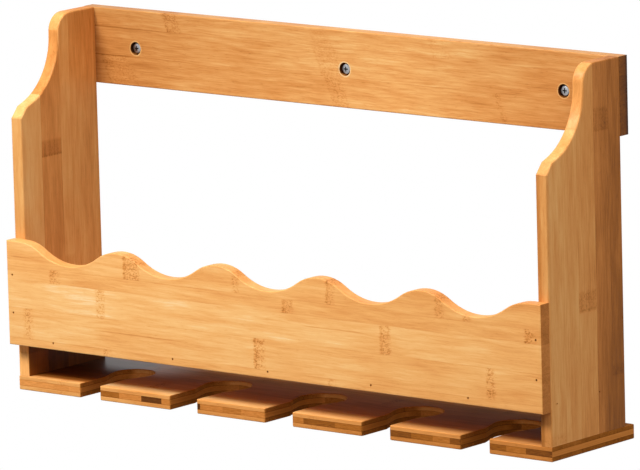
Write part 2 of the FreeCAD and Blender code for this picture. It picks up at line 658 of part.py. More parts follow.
def put(item, turn, across, back, up):
    """Turns a piece and puts its head at three coordinates, each an expression."""
    item.Placement = FreeCAD.Placement(FreeCAD.Vector(0, 0, 0), turn)
    for axis, expression in (("x", across), ("y", back), ("z", up)):
        item.setExpression(f"Placement.Base.{axis}", expression)


def cylinder(name, diameter, length):
    item = doc.addObject("Part::Cylinder", name)
    item.setExpression("Radius", f"{diameter} / 2")
    item.setExpression("Height", length)
    return item


def brad(name, turn, across, back, up):
    item = cylinder(name, "Sizes.brad_diameter", "Sizes.brad_length")
    put(item, turn, across, back, up)
    return item


def assembly_screw(name, turn, across, back, up):
    """A countersunk screw with a cross recess in its head."""
    head = doc.addObject("Part::Cone", f"{name}_head")
    head.setExpression("Radius1", "Sizes.screw_head_diameter / 2")
    head.setExpression("Radius2", "Sizes.screw_diameter / 2")
    head.setExpression("Height", "(Sizes.screw_head_diameter - Sizes.screw_diameter) / 2")
    shank = cylinder(f"{name}_shank", "Sizes.screw_diameter", "Sizes.screw_length")
    point = doc.addObject("Part::Cone", f"{name}_point")
    point.setExpression("Radius1", "Sizes.screw_diameter / 2")
    point.Radius2 = 0
    point.setExpression("Height", "Sizes.screw_point_length")
    point.setExpression("Placement.Base.z", "Sizes.screw_length")
    turned = doc.addObject("Part::MultiFuse", f"{name}_turned")
    turned.Shapes = [head, shank, point]
    arms = []
    for arm, long_side, short_side in (("flat_arm", "Length", "Width"), ("upright_arm", "Width", "Length")):
        bar = doc.addObject("Part::Box", f"{name}_{arm}")
        bar.setExpression(long_side, "Sizes.cross_span")
        bar.setExpression(short_side, "Sizes.cross_width")
        bar.setExpression("Height", "Sizes.cross_depth")
        bar.setExpression("Placement.Base.x", f"-{bar.Name}.Length / 2")
        bar.setExpression("Placement.Base.y", f"-{bar.Name}.Width / 2")
        arms.append(bar)
    cross = doc.addObject("Part::MultiFuse", f"{name}_cross")
    cross.Shapes = arms
    item = doc.addObject("Part::Cut", name)
    item.Base = turned
    item.Tool = cross
    put(item, turn, across, back, up)
    return item


def together(label, pieces):
    """One node of several like pieces."""
    group = doc.addObject("Part::Compound", label)
    group.Label = label
    group.Links = pieces
    return group


def front_shelf_brads():
    back = f"-({RACK_DEPTH} + Sizes.front_thickness - Sizes.brad_sink)"
    up = f"{BOARD_TOP} + {SHELF_MIDDLE}"
    brads = [brad(f"front_shelf_brad_{number}", TO_THE_BACK, across, back, up)
             for number, across in enumerate(FRONT_BRADS, start=1)]
    return together("front_shelf_brads", brads)


def front_side_brads(label, across):
    back = f"-({RACK_DEPTH} + Sizes.front_thickness - Sizes.brad_sink)"
    brads = [brad(f"{label}_{number}", TO_THE_BACK, across, back, f"{BOARD_TOP} + Sizes.foot_gap + {height}")
             for number, height in enumerate(SIDE_BRADS, start=1)]
    return together(label, brads)


def shelf_brads(label, turn, across):
    up = f"{BOARD_TOP} + {SHELF_MIDDLE}"
    brads = [brad(f"{label}_{number}", turn, across, f"-(Sizes.rail_thickness + {back})", up)
             for number, back in enumerate(SHELF_BRADS, start=1)]
    return together(label, brads)


def rail_screws(label, across):
    screws = [assembly_screw(f"{label}_{number}", TO_THE_FRONT, across, "0 mm", f"{sign}{RAIL_SCREW_UP}")
              for number, sign in enumerate(("-", ""), start=1)]
    return together(label, screws)


def base_screws(label, across):
    screws = [assembly_screw(f"{label}_{number}", UPWARD, across, f"-(Sizes.rail_thickness + {back})",
                             UNDERSIDE)
              for number, back in enumerate(BASE_SCREWS, start=1)]
    return together(label, screws)


nodes = [
    side_panel("side_panel_left", f"-{HALF_WIDTH}"),
    side_panel("side_panel_right", SHELF_HALF_WIDTH),
    back_rail(),
    front_panel(),
    bottle_shelf(),
    glass_board(),
    wall_screw("wall_screw_left", f"-{WALL_SCREW_ACROSS}"),
    wall_screw("wall_screw_middle", None),
    wall_screw("wall_screw_right", WALL_SCREW_ACROSS),
    front_shelf_brads(),
    front_side_brads("front_side_brads_left", f"-{SIDE_CENTRE}"),
    front_side_brads("front_side_brads_right", SIDE_CENTRE),
    shelf_brads("shelf_brads_left", TO_THE_RIGHT, f"-({HALF_WIDTH} - Sizes.brad_sink)"),
    shelf_brads("shelf_brads_right", TO_THE_LEFT, f"{HALF_WIDTH} - Sizes.brad_sink"),
    rail_screws("rail_screws_left", f"-{SIDE_CENTRE}"),
    rail_screws("rail_screws_right", SIDE_CENTRE),
    base_screws("base_screws_left", f"-{SIDE_CENTRE}"),
    base_screws("base_screws_right", SIDE_CENTRE),
]
doc.recompute()

for item in doc.Objects:
    if any(word in ("Invalid", "Error") for word in item.State):
        raise RuntimeError(f"{item.Name} could not be computed")
os.makedirs("parts", exist_ok=True)
for node in nodes:
    if node.Shape.isNull() or not node.Shape.isValid():
        raise RuntimeError(f"{node.Label} has no valid shape")
    node.Shape.exportStep(f"parts/{node.Label}.step")
    print(node.Label, len(node.Shape.Solids), round(node.Shape.Volume))
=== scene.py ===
"""Looks of a wall rack for wine bottles and stemmed glasses: bamboo boards, screws and brads.

The CAD model is the frame and keeps every shape. This script gives its nodes procedural materials,
and adds the camera, the lamps and the floor. Lengths in the materials are millimetres in the row
frame: X along the wall, Y into the wall, Z up. Everything that Blender places is in metres.
"""
import math

import bpy
from mathutils import Matrix, Vector

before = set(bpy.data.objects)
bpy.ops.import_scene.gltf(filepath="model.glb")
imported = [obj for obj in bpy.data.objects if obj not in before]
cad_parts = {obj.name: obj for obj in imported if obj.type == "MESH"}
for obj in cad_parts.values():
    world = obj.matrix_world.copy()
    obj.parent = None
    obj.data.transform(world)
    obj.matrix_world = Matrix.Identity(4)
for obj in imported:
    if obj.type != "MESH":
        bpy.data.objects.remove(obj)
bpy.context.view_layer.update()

AXES = {"x": 0, "y": 1, "z": 2}
MM = 1000.0  # millimetres in a metre
COURSE_TOP = 1.5  # a colour ramp holds numbers up to 1, so factors are kept in it as shares of this

# Places in the row frame, in millimetres.
ALONG_WALL = (-300.0, 300.0)
SIDE_HEIGHT = (-287.5, 34.5)
RIGHT_END = (298.0, 299.5)  # a mask over the glass board's right end starts and is full here


# ---------------------------------------------------------------- node graphs

class Shader:
    """One material's nodes. Any input takes a number, a tuple or another node's output."""

    def __init__(self, name, roughness, specular, metallic=0.0, coat=0.0, coat_roughness=0.3):
        self.material = bpy.data.materials.new(name)
        self.material.use_nodes = True
        self.nodes = self.material.node_tree.nodes
        self.links = self.material.node_tree.links
        self.surface = self.nodes["Principled BSDF"]
        self.surface.inputs["Roughness"].default_value = roughness
        self.surface.inputs["Specular IOR Level"].default_value = specular
        self.surface.inputs["Metallic"].default_value = metallic
        self.surface.inputs["Coat Weight"].default_value = coat
        self.surface.inputs["Coat Roughness"].default_value = coat_roughness
        place = self.node("ShaderNodeTexCoord").outputs["Object"]
        self.place = self.vector("SCALE", place, scale=MM)
        self.at = self.parts(self.place)
        self.normal = self.parts(self.node("ShaderNodeNewGeometry").outputs["Normal"])

    def node(self, kind, inputs=None, **settings):
        made = self.nodes.new(kind)
        for name, value in settings.items():
            setattr(made, name, value)
        for key, value in (inputs or {}).items():
            self.feed(made.inputs[key], value)
        return made

    def feed(self, socket, value):
        if isinstance(value, bpy.types.NodeSocket):
            self.links.new(value, socket)
        else:
            socket.default_value = value

    def parts(self, vector):
        split = self.node("ShaderNodeSeparateXYZ", {0: vector}).outputs
        return {axis: split[index] for axis, index in AXES.items()}

    def math(self, operation, *values):
        return self.node("ShaderNodeMath", dict(enumerate(values)), operation=operation).outputs[0]

    def vector(self, operation, *values, scale=None):
        inputs = dict(enumerate(values))
        if scale is not None:
            inputs["Scale"] = scale
        return self.node("ShaderNodeVectorMath", inputs, operation=operation).outputs[0]

    def scaled(self, *pairs):
        """A vector of up to three (value, length that makes 1) pairs."""
        values = [self.math("DIVIDE", value, length) for value, length in pairs]
        return self.node("ShaderNodeCombineXYZ", dict(enumerate(values))).outputs[0]

    def span(self, value, low, high, to_low=0.0, to_high=1.0, kind="SMOOTHSTEP"):
        """value between low and high, as a number between to_low and to_high."""
        inputs = {
            "Value": value, "From Min": low, "From Max": high, "To Min": to_low, "To Max": to_high,
        }
        made = self.node("ShaderNodeMapRange", inputs, interpolation_type=kind, clamp=True)
        return made.outputs["Result"]

    def shift(self, value, amount, by):
        """value plus amount times by."""
        return self.math("MULTIPLY_ADD", amount, by, value)

    def sway(self, value, noise, by):
        """value plus a noise, which lies about its middle of 0.5, times by."""
        return self.shift(value, self.math("SUBTRACT", noise, 0.5), by)

    def blend(self, factor, first, second):
        """A number that goes from first to second as factor goes from 0 to 1."""
        made = self.node("ShaderNodeMix", {0: factor, 2: first, 3: second}, data_type="FLOAT")
        return made.outputs[0]

    def blend_colour(self, factor, first, second):
        made = self.node("ShaderNodeMix", {0: factor, 6: first, 7: second}, data_type="RGBA")
        return made.outputs[2]

    def masked(self, value, factor, mask):
        """value times factor where the mask is 1, and value itself where it is 0."""
        return self.math("MULTIPLY", value, self.blend(mask, 1.0, factor))

    def facing(self, axis, sign=None, low=0.45, high=0.85):
        """1 on faces square to an axis. With sign 1 or -1, only on those that look that way."""
        look = self.normal[axis]
        look = self.math("ABSOLUTE", look) if sign is None else self.math("MULTIPLY", look, sign)
        return self.span(look, low, high)

    def noise(self, vector, detail, roughness=0.5):
        inputs = {"Vector": vector, "Scale": 1.0, "Detail": detail, "Roughness": roughness}
        return self.node("ShaderNodeTexNoise", inputs).outputs["Fac"]

    def ramp(self, value, stops, interpolation="LINEAR"):
        """A colour ramp over [(place from 0 to 1, grey number or colour)]."""
        made = self.node("ShaderNodeValToRGB", {"Fac": value})
        made.color_ramp.interpolation = interpolation
        elements = made.color_ramp.elements
        while len(elements) < len(stops):
            elements.new(0.5)
        for element, (position, colour) in zip(elements, sorted(stops, key=lambda stop: stop[0])):
            element.position = position
            if isinstance(colour, (int, float)):
                colour = (colour, colour, colour)
            element.color = (*colour, 1.0)
        return made.outputs["Color"]

    def profile(self, value, stops, interpolation="LINEAR"):
        """A colour that changes with a length. stops are [(length, number or colour)], in order."""
        low, high = stops[0][0], stops[-1][0]
        share = self.span(value, low, high, kind="LINEAR")
        placed = [((place - low) / (high - low), colour) for place, colour in stops]
        return self.ramp(share, placed, interpolation)

    def level(self, value, stops, interpolation="LINEAR"):
        """The same for one number."""
        colour = self.profile(value, stops, interpolation)
        return self.node("ShaderNodeSeparateColor", {0: colour}).outputs[0]

    def course(self, axis, places):
        """A factor that changes along an axis. places are [(place, factor)], in order."""
        shares = [(place, factor / COURSE_TOP) for place, factor in places]
        return self.math("MULTIPLY", self.level(self.at[axis], shares), COURSE_TOP)

    def local_course(self, axis, places, where):
        """The same within a mask. where is (axis, start, full), or None for everywhere."""
        factor = self.course(axis, places)
        if where is None:
            return factor
        inside = self.span(self.at[where[0]], where[1], where[2])
        return self.blend(inside, 1.0, factor)

    def near(self, places, radius):
        """1 inside cylinders of that radius along Y round the (x, z) places, 0 outside."""
        inside = 0.0
        for x, z in places:
            across = self.math("SUBTRACT", self.at["x"], x)
            up = self.math("SUBTRACT", self.at["z"], z)
            square = self.math("MULTIPLY_ADD", across, across, self.math("MULTIPLY", up, up))
            ring = self.span(self.math("SQRT", square), radius - 0.1, radius + 0.25, 1.0, 0.0)
            inside = self.math("MAXIMUM", inside, ring)
        return inside

    def bump(self, height, distance, strength):
        """Relief, where a height of 1 stands for a distance in metres."""
        inputs = {"Height": height, "Distance": distance, "Strength": strength}
        bumped = self.node("ShaderNodeBump", inputs).outputs[0]
        self.feed(self.surface.inputs["Normal"], bumped)


# ---------------------------------------------------------------- bamboo

# Bamboo from dark to pale: (tone, colour). All streaks, strips and knots move the tone.
BAMBOO = [
    (0.00, (0.020, 0.006, 0.002)),
    (0.20, (0.075, 0.023, 0.006)),
    (0.30, (0.160, 0.050, 0.010)),
    (0.40, (0.300, 0.096, 0.013)),
    (0.47, (0.395, 0.132, 0.021)),
    (0.58, (0.560, 0.202, 0.043)),
    (0.71, (0.725, 0.300, 0.078)),
    (0.83, (0.825, 0.405, 0.128)),
    (0.92, (0.880, 0.500, 0.185)),
    (1.00, (0.900, 0.620, 0.320)),
]

# What is added to the tone.
DASH_TONE = -0.08
KNOT_EDGE_TONE = -0.26
SEAM_TONE = -0.085
PLY_GLUE_TONE = -0.12
STREAK_TONE = -0.13
DOT_TONE = -0.10
RIM_TONE = 0.19
NAIL_TONE = -0.24

# Sizes in millimetres.
STRIP_SHIFT = 900.0  # how far apart neighbouring strips take their grain, along the fibres
SEAM_HALF = 0.55
PLY_EDGE = 0.12  # half the width of the change from one ply to the next
DOT_SPACING = 0.8
RECESS_RADIUS = 6.0
RIM_RADIUS = 7.0
NAIL_RADIUS = 1.0
RECESS_WALL = (-11.7, -10.9)  # along Y: where the painted shade in the drilled recesses starts and is full

RECESS_SHADE_FACTOR = 0.42  # painted shade: the share of the tone left inside the recesses
PLY_END_FACTOR = 0.72  # of the tone, on the plies' cut ends
SLOT_WALL_SHADE = 0.84  # painted shade: the share of the tone left on the slots' walls
LOW_END_FACTOR = 0.91  # of the tone, on the lower ply's cut ends
CORE_DEPTH = 1.14  # of the colour, on the core
RELIEF_DISTANCE = 0.00007


class Layer:
    """A layer of bamboo strips: its tone, its relief and where its knots are.

    Strips lie side by side across, with their fibres along. They are (start, end, tone, knots), and
    a knot is (place along, width, strength). contrast is how strong the grain is, in_knots how much
    darker a knot is (between its specks, in them), and fray how ragged its ends are.
    """

    def __init__(self, shader, along, across, depth, reach, strips, contrast=1.0,
                 in_knots=(0.02, 0.25), fray=5.0):
        low, high = strips[0][0], strips[-1][1]
        tones = [(strip[0], strip[2]) for strip in strips] + [(high, strips[-1][2])]
        tone = shader.level(across, tones, "CONSTANT")
        offsets = [(strip[0], (index * 0.37 + 0.11) % 1.0) for index, strip in enumerate(strips)]
        offset = shader.level(across, offsets + [(high, 0.9)], "CONSTANT")
        run = shader.shift(along, offset, STRIP_SHIFT)

        # Long wavy fibres, and short dark dashes where single ones are cut.
        waves = shader.noise(shader.scaled((run, 46.0), (across, 30.0), (depth, 60.0)), 2.0)
        bent = shader.sway(across, waves, 4.0)

        def fibres(length, width, height, *look):
            """Noise of that grain size, in millimetres, that follows the bent strip."""
            return shader.noise(shader.scaled((run, length), (bent, width), (depth, height)), *look)

        drift = fibres(75.0, 13.0, 30.0, 1.0)
        figure = fibres(42.0, 4.2, 6.0, 2.0)
        broad = fibres(30.0, 1.5, 2.4, 2.0)
        fine = fibres(14.0, 0.60, 0.9, 2.0, 0.6)
        dash = shader.span(fibres(7.0, 0.50, 0.6, 1.0), 0.63, 0.72)
        tone = shader.sway(tone, drift, 0.22)
        for noise, amount in ((figure, 0.20), (broad, 0.17), (fine, 0.15)):
            tone = shader.sway(tone, noise, amount * contrast)
        tone = shader.shift(tone, dash, DASH_TONE * contrast)

        # Knots: a band across one strip, speckled with cut fibres, with a darker line at its start.
        ragged = shader.noise(shader.scaled((across, 1.8), (along, 7.0), (depth, 3.0)), 2.0)
        frayed = shader.sway(along, ragged, fray)
        band, edge = self.knots(shader, frayed, across, reach, strips)
        specks = shader.noise(shader.scaled((along, 2.0), (across, 1.3), (depth, 1.8)), 2.0, 0.65)
        specks = shader.span(specks, 0.47, 0.60)
        cloud = shader.noise(shader.scaled((along, 9.0), (across, 6.0), (depth, 9.0)), 1.0)
        specks = shader.math("MULTIPLY", specks, shader.span(cloud, 0.25, 0.62, 0.35, 1.0))
        darker = shader.math("MULTIPLY", band, shader.blend(specks, *in_knots))
        tone = shader.math("SUBTRACT", tone, darker)
        broken = shader.span(ragged, 0.30, 0.65)
        tone = shader.shift(tone, shader.math("MULTIPLY", edge, broken), KNOT_EDGE_TONE)

        # Glue lines between the strips, clearer in some places than in others.
        seams = [(low, 0.0)]
        for strip in strips[1:]:
            joint = strip[0]
            seams += [(joint - SEAM_HALF, 0.0), (joint, 1.0), (joint + SEAM_HALF, 0.0)]
        seam = shader.level(across, seams + [(high, 0.0)])
        patchy = shader.noise(shader.scaled((along, 60.0), (across, 9.0)), 1.0)
        seam = shader.math("MULTIPLY", seam, shader.span(patchy, 0.38, 0.60, 0.15, 1.0))

        relief = shader.shift(shader.shift(fine, broad, 0.6), dash, -0.8)
        relief = shader.shift(relief, seam, -1.0)
        self.relief = shader.shift(relief, shader.math("MULTIPLY", specks, band), -0.8)
        self.tone = shader.shift(tone, seam, SEAM_TONE)
        self.band = band
        self.fine = fine

    def knots(self, shader, along, across, reach, strips):
        """(the knots' bands, the lines at their starts), each 0 to 1."""
        none = (0.0, 0.0, 0.0)
        low, high = reach
        total = none
        for start, end, _, knots in strips:
            if not knots:
                continue
            stops = [(low, none)]
            for place, width, strength in sorted(knots):
                left, right = place - width / 2, place + width / 2
                stops += [
                    (left - 0.9, none),
                    (left, (strength, strength ** 3, 0.0)),
                    (left + 1.3, (strength * 0.9, 0.0, 0.0)),
                    (right - 1.6, (strength * 0.7, 0.0, 0.0)),
                    (right + 0.8, none),
                ]
            stops.append((high, none))
            inside = shader.math("COMPARE", across, (start + end) / 2, (end - start) / 2)
            colour = shader.profile(along, stops)
            total = shader.vector("ADD", total, shader.vector("SCALE", colour, scale=inside))
        both = shader.parts(total)
        return both["x"], both["y"]


def end_dots(shader, across, depth):
    """The fibres' cut ends: dark dots."""
    place = shader.scaled((across, DOT_SPACING), (depth, DOT_SPACING))
    dots = shader.node("ShaderNodeTexVoronoi", {"Vector": place, "Scale": 1.0}).outputs["Distance"]
    return shader.span(dots, 0.15, 0.42, 1.0, 0.0)


def finish_wood(shader, tone, relief, roughness, depth_of_colour):
    colour = shader.vector("SCALE", shader.ramp(tone, BAMBOO), scale=depth_of_colour)
    shader.feed(shader.surface.inputs["Base Color"], colour)
    shader.feed(shader.surface.inputs["Roughness"], roughness)
    shader.bump(relief, RELIEF_DISTANCE, 0.8)
    return shader.material


def board(name, grain, width_axis, reach, strips, end_tone=0.9, faces=(), painted_shades=(), tint_and_painted_light=(),
          recesses=(), brads=(), streaks=(), slant=0.0, **look):
    """A laminated board's material.

    Its fibres run along grain, from reach[0] to reach[1], and its strips lie along width_axis.
    end_tone is how much of the tone is left on the cut ends. faces are (axis, sign, factor):
    painted light and shade, a face made paler or darker than the rest by the way it faces.
    painted_shades are (axis, [(place, factor)], where), and where is (axis, start, full) or None:
    painted shade, a slow change of tone along the board. tint_and_painted_light is the same for
    the depth of the colour: partly the bamboo's own tint, partly painted light and shade. recesses
    and brads are (x, z) places: drilled recesses, with painted shade inside and a pale rim, and
    small nail marks. streaks are (across, start, end): single dark fibres. slant is how far knots
    lean along the board for each millimetre across, and look goes to the Layer.
    """
    shader = Shader(name, 0.5, 0.06, coat=0.16, coat_roughness=0.34)
    third = next(axis for axis in AXES if axis not in (grain, width_axis))
    along, across, depth = shader.at[grain], shader.at[width_axis], shader.at[third]
    leaning = shader.shift(along, across, slant) if slant else along
    layer = Layer(shader, leaning, across, depth, reach, strips, **look)
    tone = layer.tone
    for place, start, stop in streaks:
        away = shader.sway(shader.math("SUBTRACT", across, place), layer.fine, 0.8)
        line = shader.span(shader.math("ABSOLUTE", away), 0.25, 0.85, 1.0, 0.0)
        line = shader.math("MULTIPLY", line, shader.span(along, start, start + 15.0))
        line = shader.math("MULTIPLY", line, shader.span(along, stop - 25.0, stop, 1.0, 0.0))
        tone = shader.shift(tone, line, STREAK_TONE)

    end = shader.facing(grain, low=0.55)
    dots = end_dots(shader, across, depth)
    cut = shader.shift(shader.math("MULTIPLY", tone, end_tone), dots, DOT_TONE)
    tone = shader.blend(end, tone, cut)

    # Painted light and shade: a face made paler or darker by the way it faces.
    for axis, sign, factor in faces:
        tone = shader.masked(tone, factor, shader.facing(axis, sign, high=0.80))
    # Painted shade along the board.
    for shade in painted_shades:
        tone = shader.math("MULTIPLY", tone, shader.local_course(*shade))
    if recesses:
        inside = shader.near(recesses, RECESS_RADIUS)
        rim = shader.math("SUBTRACT", shader.near(recesses, RIM_RADIUS), inside)
        tone = shader.shift(tone, rim, RIM_TONE)
        # Painted shade inside the recesses.
        painted_recess_shade = shader.math("MULTIPLY", inside, shader.span(shader.at["y"], *RECESS_WALL))
        tone = shader.masked(tone, RECESS_SHADE_FACTOR, painted_recess_shade)
    if brads:
        tone = shader.shift(tone, shader.near(brads, NAIL_RADIUS), NAIL_TONE)
    # The colour's depth: the bamboo's own tint, with painted light and shade.
    depth_of_colour = 1.0
    for patch in tint_and_painted_light:
        depth_of_colour = shader.math("MULTIPLY", depth_of_colour, shader.local_course(*patch))

    rough = shader.sway(0.50, layer.fine, 0.16)
    rough = shader.shift(rough, layer.band, 0.08)
    rough = shader.shift(rough, end, 0.15)
    relief = shader.shift(layer.relief, shader.math("MULTIPLY", dots, end), -1.5)
    return finish_wood(shader, tone, relief, rough, depth_of_colour)


def ply_board(name, strips, blocks, layers, shade, plies, lower_ply, painted_shelf_shade, painted_tongue_shade, tint_and_painted_light):
    """The glass board's material: two outer plies with fibres along X, and a core of cross blocks.

    strips are the outer plies' strips across Y, blocks are (start along X, tone) of the core, and
    layers are the heights of the two glue lines. The others are changes of tone: shade along X of
    everything, darker towards the right end, plies and lower_ply along X of the outer plies and of
    the lower one in the front edge, and painted_shelf_shade and painted_tongue_shade along Y and X
    of the top face: painted light just behind its front edge, and painted shade under the shelf
    and on the tongues behind the front edge. tint_and_painted_light is a change along X of the
    depth of the top face's colour, painted shade towards its left and right ends.
    """
    shader = Shader(name, 0.6, 0.02)
    x, y, z = (shader.at[axis] for axis in "xyz")
    skin = Layer(shader, x, y, z, ALONG_WALL, strips)
    over_lower = (layers[0] - PLY_EDGE, layers[0] + PLY_EDGE)
    over_upper = (layers[1] - PLY_EDGE, layers[1] + PLY_EDGE)

    # The outer plies' fibres end at the board's ends and at the slots' walls.
    end = shader.facing("x")
    dots = end_dots(shader, y, z)
    cut = shader.shift(shader.math("MULTIPLY", skin.tone, PLY_END_FACTOR), dots, DOT_TONE)
    tone = shader.blend(end, skin.tone, cut)
    edge = shader.facing("y", -1.0)
    tone = shader.masked(tone, shader.course("x", plies), edge)
    low = shader.span(z, *over_lower, 1.0, 0.0)
    low_edge = shader.math("MULTIPLY", low, edge)
    tone = shader.masked(tone, shader.course("x", lower_ply), low_edge)
    tone = shader.masked(tone, LOW_END_FACTOR, shader.math("MULTIPLY", low, end))

    # The core's blocks run from front to back, so the front edge shows their ends.
    core_end = shader.level(x, blocks + [(ALONG_WALL[1], blocks[-1][1])], "CONSTANT")
    grain = shader.noise(shader.scaled((x, 7.0), (y, 1.0), (z, 0.9)), 3.0, 0.7)
    core_end = shader.sway(shader.math("MULTIPLY", core_end, 0.96), grain, 0.34)
    side = shader.noise(shader.scaled((y, 40.0), (x, 1.2), (z, 0.9)), 2.0, 0.6)
    # The core's sides: darker everywhere but at the board's right end, as painted shade.
    core_side = shader.sway(shader.span(x, *RIGHT_END, 0.60, 0.72), side, 0.22)
    core = shader.blend(shader.facing("y"), core_side, core_end)

    between = shader.span(z, *over_lower)
    between = shader.math("MULTIPLY", between, shader.span(z, *over_upper, 1.0, 0.0))
    upright = shader.math("SUBTRACT", 1.0, shader.facing("z", None, 0.80, 0.95))
    inside = shader.math("MULTIPLY", between, upright)
    tone = shader.blend(inside, tone, core)
    tone = shader.math("MULTIPLY", tone, shader.level(x, shade))

    # The top face, with painted light and shade, and the walls of the slots, with painted shade.
    top = shader.facing("z", 1.0, 0.80, 0.95)
    tone = shader.masked(tone, shader.course("y", painted_shelf_shade), top)
    behind = shader.math("MULTIPLY", top, shader.span(y, -114.0, -107.0))
    tone = shader.masked(tone, shader.course("x", painted_tongue_shade), behind)
    # Painted shade on the slots' walls and every other cut side but the right end.
    wall = shader.math("MULTIPLY", end, shader.span(x, *RIGHT_END, 1.0, 0.0))
    tone = shader.masked(tone, SLOT_WALL_SHADE, wall)
    depth_of_colour = shader.blend(top, 1.0, shader.course("x", tint_and_painted_light))
    depth_of_colour = shader.blend(inside, depth_of_colour, CORE_DEPTH)

    # Glue lines between the plies.
    glue = 0.0
    for height in layers:
        away = shader.math("ABSOLUTE", shader.math("SUBTRACT", z, height))
        glue = shader.math("MAXIMUM", glue, shader.span(away, 0.10, 0.45, 1.0, 0.0))
    glue = shader.math("MULTIPLY", glue, upright)
    tone = shader.shift(tone, glue, PLY_GLUE_TONE)

    # The finish is thicker, so glossier, at the back of the left end.
    glossy = shader.span(x, -235.0, -150.0, 0.5, 0.0)
    glossy = shader.math("MULTIPLY", glossy, shader.span(y, -70.0, -30.0))
    shader.feed(shader.surface.inputs["Coat Weight"], shader.math("MULTIPLY", glossy, top))

    rough = shader.sway(0.62, skin.fine, 0.16)
    rough = shader.shift(rough, shader.math("MAXIMUM", end, inside), 0.18)
    relief = shader.shift(skin.relief, shader.math("MULTIPLY", dots, end), -1.5)
    relief = shader.shift(relief, glue, -1.2)
    return finish_wood(shader, tone, relief, rough, depth_of_colour)


# Strips are (start, end, tone, knots) and a knot is (place along the fibres, width, strength).
FRONT_STRIPS = [
    (-257.0, -249.9, 0.785, [(-184, 8, 0.6), (72, 8, 0.6)]),
    (-249.9, -222.5, 0.845, [(-276, 9, 0.9), (-9, 11, 1.0), (245, 10, 1.0)]),
    (-222.5, -196.9, 0.870, [(-191, 10, 0.9), (132, 10, 1.0)]),
    (-196.9, -184.5, 0.800, [(-243, 10, 0.9), (24, 10, 0.9), (288, 10, 0.9)]),
    (-184.5, -160.0, 0.808, [
        (-153, 17, 1.0), (-35, 8, 0.7), (72, 8, 0.7), (191, 9, 0.8), (221, 8, 0.8),
    ]),
]
RAIL_STRIPS = [
    (-34.5, -8.0, 0.780, [(-267, 34, 0.60), (-17, 20, 0.70), (164, 7, 0.5)]),
    (-8.0, 17.5, 0.780, [(-15, 26, 0.50)]),
    (17.5, 34.5, 0.810, [(-187, 17, 1.0), (-16, 22, 0.25), (117, 20, 0.35)]),
]
LEFT_STRIPS = [
    (-117.0, -90.0, 0.840, [(-262, 9, 0.6)]),
    (-90.0, -63.0, 0.670, [(-84, 14, 0.9)]),
    (-63.0, -49.0, 0.780, [(-190, 9, 0.5)]),
    (-49.0, -15.0, 0.725, [(-240, 9, 0.6)]),
    (-15.0, -12.0, 0.680, []),
]
RIGHT_STRIPS = [
    (-117.0, -95.5, 0.790, [(-282, 8, 0.5)]),
    (-95.5, -74.5, 0.775, []),
    (-74.5, -50.0, 0.730, [(-169, 17, 0.9)]),
    (-50.0, -29.0, 0.562, [(-15, 20, 0.6)]),
    (-29.0, -12.0, 0.503, [(-235, 9, 0.5)]),
]
SHELF_STRIPS = [
    (-117.0, -98.0, 0.80, [(-180, 10, 1.0), (90, 9, 0.9)]),
    (-98.0, -72.0, 0.84, [(-30, 10, 1.0), (228, 10, 1.0)]),
    (-72.0, -46.0, 0.79, [(-235, 10, 0.9), (38, 11, 1.0)]),
    (-46.0, -12.0, 0.82, [(-120, 10, 1.0), (160, 10, 1.0)]),
]
PLY_STRIPS = [
    (-117.0, -99.0, 0.800, [(-250, 9, 0.5), (40, 9, 0.4)]),
    (-99.0, -74.0, 0.800, [(-160, 10, 0.9), (108, 9, 0.9)]),
    (-74.0, -49.0, 0.760, [(-20, 10, 0.9), (240, 9, 0.9)]),
    (-49.0, -24.0, 0.790, [(-210, 9, 0.9), (65, 10, 0.9)]),
    (-24.0, 0.0, 0.770, [(-95, 10, 0.9), (180, 10, 0.9)]),
]
# The core's blocks: (start along X, tone).
CORE_BLOCKS = [
    (-300.0, 0.69), (-262.0, 0.66), (-243.0, 0.68), (-206.3, 0.45), (-184.0, 0.61), (-159.0, 0.27),
    (-135.0, 0.59), (-114.0, 0.52), (-94.8, 0.22), (-90.0, 0.58), (-65.0, 0.53), (-43.0, 0.60),
    (-13.0, 0.50), (13.0, 0.54), (28.0, 0.40), (62.0, 0.48), (95.0, 0.56), (122.0, 0.38),
    (146.0, 0.47), (170.0, 0.56), (188.0, 0.40), (204.0, 0.52), (230.0, 0.46), (250.0, 0.58),
    (271.0, 0.40),
]
PLY_LAYERS = (-296.4, -291.3)  # heights of the glue lines between the plies


# ---------------------------------------------------------------- steel

CROSS_RADIUS = 2.5
CROSS_WALL = (-10.1, -9.5)  # along Y: where the painted shade in the cross recesses starts and is full


